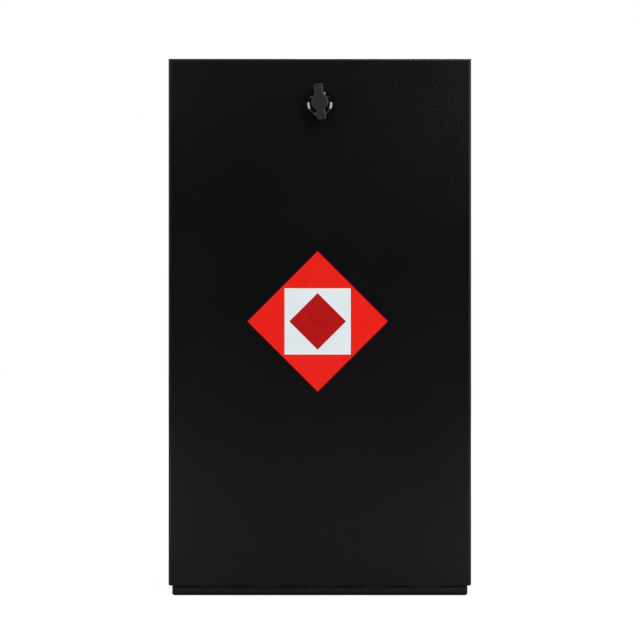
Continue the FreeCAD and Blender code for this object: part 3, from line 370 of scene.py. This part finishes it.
def moulded_nylon():
    """Satin dark grey plastic with the grain of its mould."""
    material, tree, place = new_material("moulded_nylon_dark_grey")
    grain = add(
        tree, "TexNoise", {"Scale": per_metre(MOULD_GRAIN_MM), "Detail": 3.0}, {"Vector": place}
    )
    roughness = add(
        tree, "MapRange", from_to(NOISE_SPAN, NYLON_GLOSS), {"Value": grain.outputs["Fac"]}
    )
    bump = add(
        tree, "Bump", {"Strength": 0.25, "Distance": MOULD_HEIGHT_MM * MM},
        {"Height": grain.outputs["Fac"]},
    )
    plastic = add(
        tree, "BsdfPrincipled", {"Base Color": linear("#141414"), "IOR": 1.53},
        {"Roughness": roughness.outputs["Result"], "Normal": bump.outputs["Normal"]},
    )
    add(tree, "OutputMaterial", links={"Surface": plastic.outputs["BSDF"]})
    return material


nylon = moulded_nylon()
print("made", nylon.name)

# %% [markdown]
# ## Finishes onto the solids
# Each solid's record names the material slot that it takes its finish from, so one table from
# slot to material dresses all the solids, and none can be forgotten. The hinge is coated after
# it is put together, so the parts of its pin that show are black as well.

# %% Dress the solids
FINISH = {
    "powder_coat": coat,
    "hinge_steel": hinge_coat,
    "rivet_lacquer": lacquer,
    "zinc_plate": zinc,
    "bright_steel": turned_steel,
    "seal_rubber": epdm,
    "grommet_rubber": grommet_rubber,
    "bezel_black_chrome": chrome,
    "knob_nylon": nylon,
}
for part in frame["record"]["subparts"]:
    mesh = nodes[part["node"]].data
    mesh.materials.clear()
    mesh.materials.append(FINISH[part["material_slot"]])
nodes["hinge_pin"].data.materials[0] = hinge_coat

# %% [markdown]
# ## Pieces from arrays
# New pieces are surfaces on a grid of points, worked out as whole arrays. A helper joins
# neighbouring points of the grid by quads, closing the grid round on itself where the shape
# does, and another puts points and faces into a mesh that rides on a body.

# %% Mesh helpers
SHARP_DEG = 32.0


def grid_quads(rows, columns, wrap_rows=False, wrap_columns=False):
    """Quads between neighbours of a rows by columns grid, in order round each quad."""
    index = np.arange(rows * columns).reshape(rows, columns)
    if wrap_rows:
        index = np.vstack([index, index[:1]])
    if wrap_columns:
        index = np.hstack([index, index[:, :1]])
    corners = (index[:-1, :-1], index[:-1, 1:], index[1:, 1:], index[1:, :-1])
    return np.stack(corners, axis=-1).reshape(-1, 4)


def new_piece(name, points, faces, materials, body, face_materials=None):
    """A mesh from points in metres and faces, smooth but for its sharp edges, riding on a body."""
    mesh = bpy.data.meshes.new(name)
    mesh.from_pydata(np.asarray(points).tolist(), [], [list(face) for face in faces])
    for material in materials:
        mesh.materials.append(material)
    if face_materials is not None:
        mesh.polygons.foreach_set("material_index", face_materials)
    mesh.polygons.foreach_set("use_smooth", np.full(len(mesh.polygons), True))
    mesh.set_sharp_from_angle(angle=math.radians(SHARP_DEG))
    mesh.update()
    piece = bpy.data.objects.new(name, mesh)
    bpy.context.scene.collection.objects.link(piece)
    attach(piece, body)
    print(name, len(mesh.vertices), "points", len(mesh.polygons), "faces")
    return piece


print("a 3 by 4 grid has", len(grid_quads(3, 4)), "quads")

# %% [markdown]
# ## Printed vinyl
# The label is printed on calendered vinyl film. The ink lies under a thin clear layer, so each
# colour has the same soft gloss, and the film is never quite flat on the door: a slow ripple
# bends its reflections. One function makes all the inks, and only the colour differs.

# %% Vinyl inks
RIPPLE_MM = 7.0
RIPPLE_HEIGHT_MM = 0.03
VINYL_GLOSS = (0.32, 0.42)


def vinyl(name, colour):
    """Satin printed film with a slow ripple in its gloss and surface."""
    material, tree, place = new_material(name)
    ripple = add(
        tree, "TexNoise", {"Scale": per_metre(RIPPLE_MM), "Detail": 2.0}, {"Vector": place}
    )
    roughness = add(
        tree, "MapRange", from_to(NOISE_SPAN, VINYL_GLOSS), {"Value": ripple.outputs["Fac"]}
    )
    bump = add(
        tree, "Bump", {"Strength": 0.1, "Distance": RIPPLE_HEIGHT_MM * MM},
        {"Height": ripple.outputs["Fac"]},
    )
    film = add(
        tree, "BsdfPrincipled",
        {"Base Color": linear(colour), "IOR": 1.5, "Specular IOR Level": 0.3},
        {"Roughness": roughness.outputs["Result"], "Normal": bump.outputs["Normal"]},
    )
    add(tree, "OutputMaterial", links={"Surface": film.outputs["BSDF"]})
    return material


label_inks = [
    vinyl("vinyl_red", "#e6180c"),
    vinyl("vinyl_pale", "#dee6e9"),
    vinyl("vinyl_dark_red", "#ad0403"),
]
print("made", *(ink.name for ink in label_inks))

# %% [markdown]
# ## Vinyl label
# The label is a square of film stuck on with one corner up. The film is only a tenth of a
# millimetre thick, so it reads as flat colour with a thin lit edge. Its print is a plain
# ornament: three squares, each turned by half a right angle in the one around it. The print
# could be a pattern in one material, but faces that end on the squares' sides give each colour
# a crisp edge from any distance.

# %% Vinyl label
LABEL_SIDE_MM = 98.9
LABEL_FIELD_MM = 66.0
LABEL_TILE_MM = 40.0
LABEL_FILM_MM = 0.12
LABEL_CENTRE_MM = (-2.2, 274.5)


def label_points(face_y):
    """The film's outline on the door, then its front, the pale square and the tile, in metres.

    In the film's own directions, its corners and the middles of its sides make a ring of eight
    points. The pale square's corners lie towards the middles, and the tile's towards the corners.
    These directions are then turned by half a right angle, so that a corner points up.
    """
    ring = np.array([[1, 1], [0, 1], [-1, 1], [-1, 0], [-1, -1], [0, -1], [1, -1], [1, 0]])
    corners, middles = ring[::2], ring[1::2]
    plan = np.vstack([
        LABEL_SIDE_MM / 2 * ring,
        (LABEL_SIDE_MM / 2 - LABEL_FILM_MM) * ring,
        LABEL_FIELD_MM / math.sqrt(2) * middles,
        LABEL_TILE_MM / 2 * corners,
    ])
    lift = np.repeat([0.0, LABEL_FILM_MM], [len(ring), len(plan) - len(ring)])
    x = LABEL_CENTRE_MM[0] + (plan[:, 0] - plan[:, 1]) / math.sqrt(2)
    z = LABEL_CENTRE_MM[1] + (plan[:, 0] + plan[:, 1]) / math.sqrt(2)
    return np.stack([x * MM, face_y - lift * MM, z * MM], axis=-1)


def label_faces():
    """The film's closed faces and their inks: red rim, corners and back, pale square, dark tile.

    Points 0 to 7 are the outline on the door, and the front's ring, the pale square's corners and
    the tile's corners start at the numbers below.
    """
    front, field, tile = 8, 16, 20
    edge, side = np.arange(8), np.arange(4)
    after, before = (side + 1) % 4, (side - 1) % 4
    rim = [edge, (edge + 1) % 8, front + (edge + 1) % 8, front + edge]
    corner = [
        front + (2 * side - 1) % 8, front + 2 * side, front + 2 * side + 1,
        field + side, field + before,
    ]
    back = [[i] for i in edge[::-1]]
    outer_pale = [field + before, field + side, tile + side]
    inner_pale = [field + side, tile + after, tile + side]
    centre = [[tile + i] for i in side]
    groups = [(rim, 0), (corner, 0), (back, 0), (outer_pale, 1), (inner_pale, 1), (centre, 2)]
    faces = [face for group, _ in groups for face in np.stack(group, axis=-1).tolist()]
    inks = np.repeat([ink for _, ink in groups], [len(group[0]) for group, _ in groups])
    return faces, inks


door_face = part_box("door_panel")[0].y
faces, inks = label_faces()
new_piece("label", label_points(door_face), faces, label_inks, "door", inks)

# %% [markdown]
# ## Rubber door seal
# The seal is an extruded strip, cut into four lengths with mitred ends and stuck round the
# door's inner face. Its section is a flat foot with a hollow bulb on it, which gives when the
# door shuts. A bevelled curve would round the corners, so the section is carried round the
# rectangle as arrays: at a corner it lies in the mitre's plane, where it is drawn in a little,
# so that the joint shows as a fine line.

# %% Door seal
SEAL_WIDTH_MM = 9.0
FOOT_MM = 1.3
FOOT_CUT_MM = 0.35
BULB_SHARE = 0.76
BULB_STEPS = 25
MITRE_MM = 0.5
MITRE_SHRINK = 0.95


def seal_section(half_width, height):
    """Across and height of a closed outline: a foot with cut shoulders, half an ellipse on it."""
    angle = np.linspace(0, math.pi, BULB_STEPS)
    across = BULB_SHARE * half_width * np.cos(angle)
    above = FOOT_MM + (height - FOOT_MM) * np.sin(angle)
    shoulder = np.array([
        [half_width, 0.0],
        [half_width, FOOT_MM - FOOT_CUT_MM],
        [half_width - FOOT_CUT_MM, FOOT_MM],
    ])
    return np.vstack([shoulder, np.stack([across, above], axis=-1), shoulder[::-1] * [-1, 1]])


def seal_frame(low, high):
    """The section carried round the rectangle between two corners of a box.

    Each corner has three sections: half a millimetre before the mitre, in its plane, and after.
    A point's place in plan is the rectangle's corner, moved out by how far across it is.
    """
    section = seal_section(SEAL_WIDTH_MM / 2, (high.y - low.y) / MM)
    signs = np.array([[-1, -1], [1, -1], [1, 1], [-1, 1]])
    onward = np.array([[1, 0], [0, 1], [-1, 0], [0, -1]])
    middle = np.array([low.x + high.x, low.z + high.z]) / 2 / MM
    reach = np.array([high.x - low.x, high.z - low.z]) / 2 / MM - SEAL_WIDTH_MM / 2
    mitre = middle + signs[:, None, :] * (reach + section[None, :, :1])
    back = -MITRE_MM * np.roll(onward, 1, axis=0)
    steps = np.stack([back, 0 * onward, MITRE_MM * onward], axis=1)
    plan = mitre[:, None] + steps[:, :, None]
    depth = section[:, 1] * np.array([1, MITRE_SHRINK, 1])[:, None]
    depth = np.broadcast_to(depth, plan.shape[:-1])
    points = np.stack([plan[..., 0] * MM, low.y + depth * MM, plan[..., 1] * MM], axis=-1)
    sections = points.shape[0] * points.shape[1]
    faces = grid_quads(sections, len(section), wrap_rows=True, wrap_columns=True)
    return points.reshape(-1, 3), faces


seal = new_piece("rubber_seal", *seal_frame(*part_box("door_seal")), [epdm], "door")
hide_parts("door_seal")

# %% [markdown]
# ## Hexagons about an axis
# The bracket is held by two bolts with nuts. A hexagon head is a hexagonal prism cut by a cone,
# so at each angle its reach is the smaller of the two. A bevelled prism would give flat corners;
# a grid of angle by distance gives the curved edges that the cone leaves, and the thread can be
# made on the same angles.

# %% Hexagon helpers
CONE_SLOPE = math.tan(math.radians(30))
HEAD_FACE_SHARE = 0.95
CHAMFER_STEPS = 5
TURN_STEPS = 72
ANGLES = np.linspace(0, 2 * math.pi, TURN_STEPS, endpoint=False)


def hexagon_reach(flats):
    """Reach at each angle: half the flats over the cosine of the angle from a flat's middle."""
    from_flat = (ANGLES + math.pi / 6) % (math.pi / 3) - math.pi / 6
    return flats / 2 / np.cos(from_flat)


def chamfer_levels(flats):
    """Distances in from an end face, up to where the cone meets the hexagon's corners."""
    depth = (flats / math.sqrt(3) - HEAD_FACE_SHARE * flats / 2) * CONE_SLOPE
    return np.linspace(0, depth, CHAMFER_STEPS)


def coned(reach, flats, inward):
    """A reach cut by a cone that starts near an end face and opens with the distance in from it."""
    cone = HEAD_FACE_SHARE * flats / 2 + np.asarray(inward)[:, None] / CONE_SLOPE
    return np.minimum(reach, cone)


def about_axis(reach, level, z):
    """Points at a reach from an axis along Y at a height, at levels along it, in metres."""
    level = np.broadcast_to(np.asarray(level)[:, None], reach.shape)
    return np.stack([reach * np.sin(ANGLES), level, z + reach * np.cos(ANGLES)], axis=-1) * MM


def joined(meshes):
    """One list of points and faces from several."""
    starts = np.cumsum([0] + [len(points) for points, _ in meshes])
    faces = [[start + i for i in face] for start, mesh in zip(starts, meshes) for face in mesh[1]]
    return np.vstack([points for points, _ in meshes]), faces


print("a chamfer has", CHAMFER_STEPS, "rings of", TURN_STEPS, "points")

# %% [markdown]
# ## Bolts
# A thread is a ridge that climbs by one pitch in a turn: its height at a place depends on how
# far along it is, less the share of a turn. It could be a bump, but as a surface it also shows
# in the bolt's outline. The last turn tapers, as on a bolt with a chamfered end.

# %% Bolts
BOLT_MM = 6.0
BOLT_FLATS_MM = 10.0
BOLT_HEAD_MM = 4.0
THREAD_PITCH_MM = 1.0
THREAD_DEPTH_MM = 0.6
THREAD_STEPS = 8


def capped(rings):
    """Points and faces of a stack of rings, closed by a fan of triangles at each end."""
    rows, columns = rings.shape[:2]
    points = np.vstack([rings.reshape(-1, 3), rings[0].mean(axis=0), rings[-1].mean(axis=0)])
    around = np.arange(columns)
    following = np.roll(around, -1)
    first, last = rows * columns, rows * columns + 1
    front = np.stack([np.full(columns, first), following, around], axis=-1)
    rear = np.stack([np.full(columns, last), around, following], axis=-1)
    rear[:, 1:] += (rows - 1) * columns
    quads = grid_quads(rows, columns, wrap_columns=True)
    return points, quads.tolist() + front.tolist() + rear.tolist()


def bolt(z, start, end):
    """A hexagon head, then a shank whose ridge is a triangle wave of distance and angle."""
    inward = np.append(chamfer_levels(BOLT_FLATS_MM), BOLT_HEAD_MM)
    head = coned(hexagon_reach(BOLT_FLATS_MM), BOLT_FLATS_MM, inward)
    level = np.arange(start + BOLT_HEAD_MM, end, THREAD_PITCH_MM / THREAD_STEPS)
    turns = level[:, None] / THREAD_PITCH_MM - ANGLES / (2 * math.pi)
    ridge = abs(2 * (turns % 1) - 1)
    thread = BOLT_MM / 2 - THREAD_DEPTH_MM * (1 - ridge)
    taper = BOLT_MM / 2 - THREAD_DEPTH_MM + (end - level)[:, None]
    shank = about_axis(np.minimum(thread, taper), level, z)
    return capped(np.vstack([about_axis(head, start + inward, z), shank]))


bolt_low, bolt_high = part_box("bracket_bolts")
bolt_heights = [bolt_low.z / MM + BOLT_FLATS_MM / 2, bolt_high.z / MM - BOLT_FLATS_MM / 2]
bolts = [bolt(z, bolt_low.y / MM, bolt_high.y / MM) for z in bolt_heights]
bolt_piece = new_piece("threaded_bolts", *joined(bolts), [zinc], "cabinet")
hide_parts("bracket_bolts")

# %% [markdown]
# ## Nuts
# A nut is the same hexagon with a cone at both ends and a bore through it. Its section is a
# closed loop, so the grid of angle by distance closes round in both directions, and the bore
# needs no cutting.

# %% Nuts
BORE_CLEARANCE_MM = 0.1


def nut(z, start, depth):
    """A closed ring: an outside that is a hexagon cut by a cone at each end, and a round bore."""
    inward = chamfer_levels(BOLT_FLATS_MM)
    level = np.concatenate([inward, depth - inward[::-1]])
    nearest_end = np.minimum(level, depth - level)
    outside = coned(hexagon_reach(BOLT_FLATS_MM), BOLT_FLATS_MM, nearest_end)
    bore = np.full((2, TURN_STEPS), (BOLT_MM + BORE_CLEARANCE_MM) / 2)
    reach = np.vstack([outside, bore])
    points = about_axis(reach, start + np.append(level, [depth, 0]), z).reshape(-1, 3)
    return points, grid_quads(len(reach), TURN_STEPS, wrap_rows=True, wrap_columns=True).tolist()


nut_low, nut_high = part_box("bracket_nuts")
nuts = [nut(z, nut_low.y / MM, (nut_high.y - nut_low.y) / MM) for z in bolt_heights]
nut_piece = new_piece("hexagon_nuts", *joined(nuts), [zinc], "cabinet")
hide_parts("bracket_nuts")

# %% [markdown]
# ## Camera
# The photograph looks straight at the door from about a metre and a half, level with the middle
# of the frame. A pixel covers very nearly one millimetre of the door, so the frame's 640 pixels
# span 637.7 mm there, and the lens follows from the sensor's width and the distance.

# %% Camera
FRAME_SPAN_MM = 637.7
CAMERA_SIDE_MM = 0.15
CAMERA_DISTANCE_MM = 1500.0
CAMERA_HEIGHT_MM = 275.9
SENSOR_MM = 36.0

camera_data = bpy.data.cameras.new("camera")
camera_data.sensor_width = SENSOR_MM
camera_data.lens = SENSOR_MM * CAMERA_DISTANCE_MM / FRAME_SPAN_MM
camera = bpy.data.objects.new("camera", camera_data)
camera.location = (
    CAMERA_SIDE_MM * MM, door_face - CAMERA_DISTANCE_MM * MM, CAMERA_HEIGHT_MM * MM
)
camera.rotation_euler = (math.radians(90), 0, 0)
bpy.context.scene.collection.objects.link(camera)
bpy.context.scene.camera = camera
print("lens", round(camera_data.lens, 1), "mm")

# %% [markdown]
# ## Lamps
# Two soft boxes stand well to the sides, where the latch's bezel shows them as two bright arcs.
# Most of the light comes from two large boxes high up at the corners: the door's rounded edges
# mirror what is straight beside or above them, so light from a corner leaves these edges dark,
# and a large box is only a sheen on the lid. Small lamps near the floor lighten the door's lower
# corners, a lamp overhead shapes its top, and a tiny one makes the glint on the bezel. Panels at
# the sides, behind the door's plane, give the side walls their sheen, and a large box behind
# lights the back. The powers are set so that a colour on the door's middle renders about as it
# is written. A table holds the lamps: name, place, target, size in metres and power in watts.

# %% Lamps
CABINET_MIDDLE = (0.0, 0.0, 0.28)
DOOR_MIDDLE = (0.0, -0.15, 0.28)
DOOR_FOOT = (0.0, -0.15, 0.10)
DOOR_HEAD = (0.0, -0.15, 0.50)
FOOT_LEFT = (-0.10, -0.15, 0.03)
FOOT_RIGHT = (0.10, -0.15, 0.03)
LAMPS = [
    ("soft_box_left", (-1.6, -1.05, 0.46), DOOR_MIDDLE, (0.8, 0.9), 6.5),
    ("soft_box_right", (1.6, -1.05, 0.48), DOOR_MIDDLE, (0.8, 0.9), 7.2),
    ("fill_right", (1.2, -1.6, 0.40), DOOR_MIDDLE, (0.5, 0.8), 3.5),
    ("upper_left", (-0.79, -1.25, 1.12), DOOR_MIDDLE, (0.86, 0.86), 6.0),
    ("upper_right", (0.79, -1.25, 1.12), DOOR_MIDDLE, (0.86, 0.86), 10.0),
    ("low_left", (-0.48, -0.9, 0.06), DOOR_FOOT, (0.24, 0.1), 0.3),
    ("foot_left", (-0.34, -0.42, 0.05), FOOT_LEFT, (0.2, 0.06), 0.18),
    ("foot_right", (0.34, -0.42, 0.05), FOOT_RIGHT, (0.2, 0.06), 0.22),
    ("overhead", (0.0, -0.9, 1.35), DOOR_HEAD, (0.8, 0.3), 2.05),
    ("glint", (0.14, -0.375, 0.86), DOOR_HEAD, (0.1, 0.1), 0.12),
    ("side_panel_left", (-2.3, 0.7, 0.8), CABINET_MIDDLE, (1.2, 0.9), 6.0),
    ("side_panel_right", (2.3, 0.7, 0.8), CABINET_MIDDLE, (1.2, 0.9), 6.0),
    ("soft_box_back", (0.5, 1.9, 1.8), DOOR_MIDDLE, (1.2, 1.2), 25.0),
]
for name, place, target, (width, height), power in LAMPS:
    lamp = bpy.data.lights.new(name, "AREA")
    lamp.shape = "RECTANGLE"
    lamp.size = width
    lamp.size_y = height
    lamp.energy = power
    soft_box = bpy.data.objects.new(name, lamp)
    soft_box.location = place
    aim = Vector(target) - Vector(place)
    soft_box.rotation_euler = aim.to_track_quat("-Z", "Y").to_euler()
    bpy.context.scene.collection.objects.link(soft_box)
print(len(LAMPS), "lamps,", round(sum(row[-1] for row in LAMPS), 1), "W in all")

# %% [markdown]
# ## Room
# The background is white to the camera. Metal and gloss mirror it as a sheet of white paper
# behind the cabinet, three metres wide and two metres off, so a ray that leaves a surface sees
# white only where it points nearly straight back. The rest of the room is dim, so that the black
# door mirrors little of it. The plain view transform keeps colours as they are written.

# %% Room
ROOM_GLOW = 0.02
BACKDROP_FADE = (0.78, 0.82)


def studio_room():
    """A world that is white to the camera, and to mirrors where the backdrop hangs."""
    world = bpy.data.worlds.new("studio")
    world.use_nodes = True
    tree = world.node_tree
    tree.nodes.clear()
    room = add(tree, "Background", {"Color": linear("#ffffff"), "Strength": ROOM_GLOW})
    backdrop = add(tree, "Background", {"Color": linear("#ffffff"), "Strength": 1.0})
    sight = add(tree, "LightPath")
    heading = add(tree, "SeparateXYZ", links={"Vector": add(tree, "TexCoord").outputs["Generated"]})
    behind = add(
        tree, "MapRange", from_to(BACKDROP_FADE, (0.0, 1.0)), {"Value": heading.outputs["Y"]}
    )
    bounced = add(
        tree, "Math", operation="MAXIMUM",
        links={0: sight.outputs["Is Glossy Ray"], 1: sight.outputs["Is Transmission Ray"]},
    )
    mirrored = add(
        tree, "Math", operation="MULTIPLY",
        links={0: bounced.outputs["Value"], 1: behind.outputs["Result"]},
    )
    white = add(
        tree, "Math", operation="MAXIMUM",
        links={0: sight.outputs["Is Camera Ray"], 1: mirrored.outputs["Value"]},
    )
    seen = add(
        tree, "MixShader",
        links={0: white.outputs["Value"], 1: room.outputs[0], 2: backdrop.outputs[0]},
    )
    add(tree, "OutputWorld", links={"Surface": seen.outputs[0]})
    return world


bpy.context.scene.world = studio_room()
bpy.context.scene.view_settings.view_transform = "Standard"
print("room", bpy.context.scene.world.name)

# %% [markdown]
# ## Floor
# The floor is white paper that glows to the camera and keeps the cabinet's shadow. The glow is
# a little less near the cabinet, which is painted shade round its foot, added to the real shadow.
# To every other ray it is a runner of white paper under and before the cabinet, with a greyer
# floor to its sides: the door's foot mirrors the runner, and the lower half of the bezel mirrors
# the grey. It lies just below the cabinet, so that the two faces don't meet.

# %% Floor
FLOOR_HALF_M = 6.0
FLOOR_DROP_MM = 0.2
RUNNER_EDGE_M = (0.24, 0.34)
RUNNER_WHITE = (0.70, 0.15)
GLOW_REACH_M = (0.2, 1.0)
GLOW = (0.92, 1.0)


def floor_paper():
    """Shaded paper with a glow for the camera, and a runner on a grey floor for other rays."""
    material, tree, place = new_material("white_paper_floor")
    axes = add(tree, "SeparateXYZ", links={"Vector": place})
    aside = add(tree, "Math", links={0: axes.outputs["X"]}, operation="ABSOLUTE")
    whiteness = add(
        tree, "MapRange", from_to(RUNNER_EDGE_M, RUNNER_WHITE), {"Value": aside.outputs["Value"]}
    )
    runner = add(tree, "BsdfDiffuse", links={"Color": whiteness.outputs["Result"]})
    shaded = add(tree, "BsdfDiffuse", {"Color": linear("#8a8a8a")})
    away = add(tree, "VectorMath", links={0: place}, operation="LENGTH")
    # The glow is weaker near the cabinet: painted shade round its foot, added to the shaded paper's
    # real shadow.
    glow = add(tree, "MapRange", from_to(GLOW_REACH_M, GLOW), {"Value": away.outputs["Value"]})
    shine = add(
        tree, "Emission", {"Color": linear("#ffffff")}, {"Strength": glow.outputs["Result"]}
    )
    glowing = add(tree, "AddShader", links={0: shaded.outputs[0], 1: shine.outputs[0]})
    sight = add(tree, "LightPath")
    shown = add(
        tree, "MixShader",
        links={0: sight.outputs["Is Camera Ray"], 1: runner.outputs[0], 2: glowing.outputs[0]},
    )
    add(tree, "OutputMaterial", links={"Surface": shown.outputs[0]})
    return material


corners = np.array([[-1, -1, 0], [1, -1, 0], [1, 1, 0], [-1, 1, 0]]) * FLOOR_HALF_M
corners = corners - [0, 0, FLOOR_DROP_MM * MM]
floor_mesh = bpy.data.meshes.new("floor")
floor_mesh.from_pydata(corners.tolist(), [], [[0, 1, 2, 3]])
floor_mesh.materials.append(floor_paper())
floor = bpy.data.objects.new("floor", floor_mesh)
bpy.context.scene.collection.objects.link(floor)
print("floor", 2 * FLOOR_HALF_M, "m across")
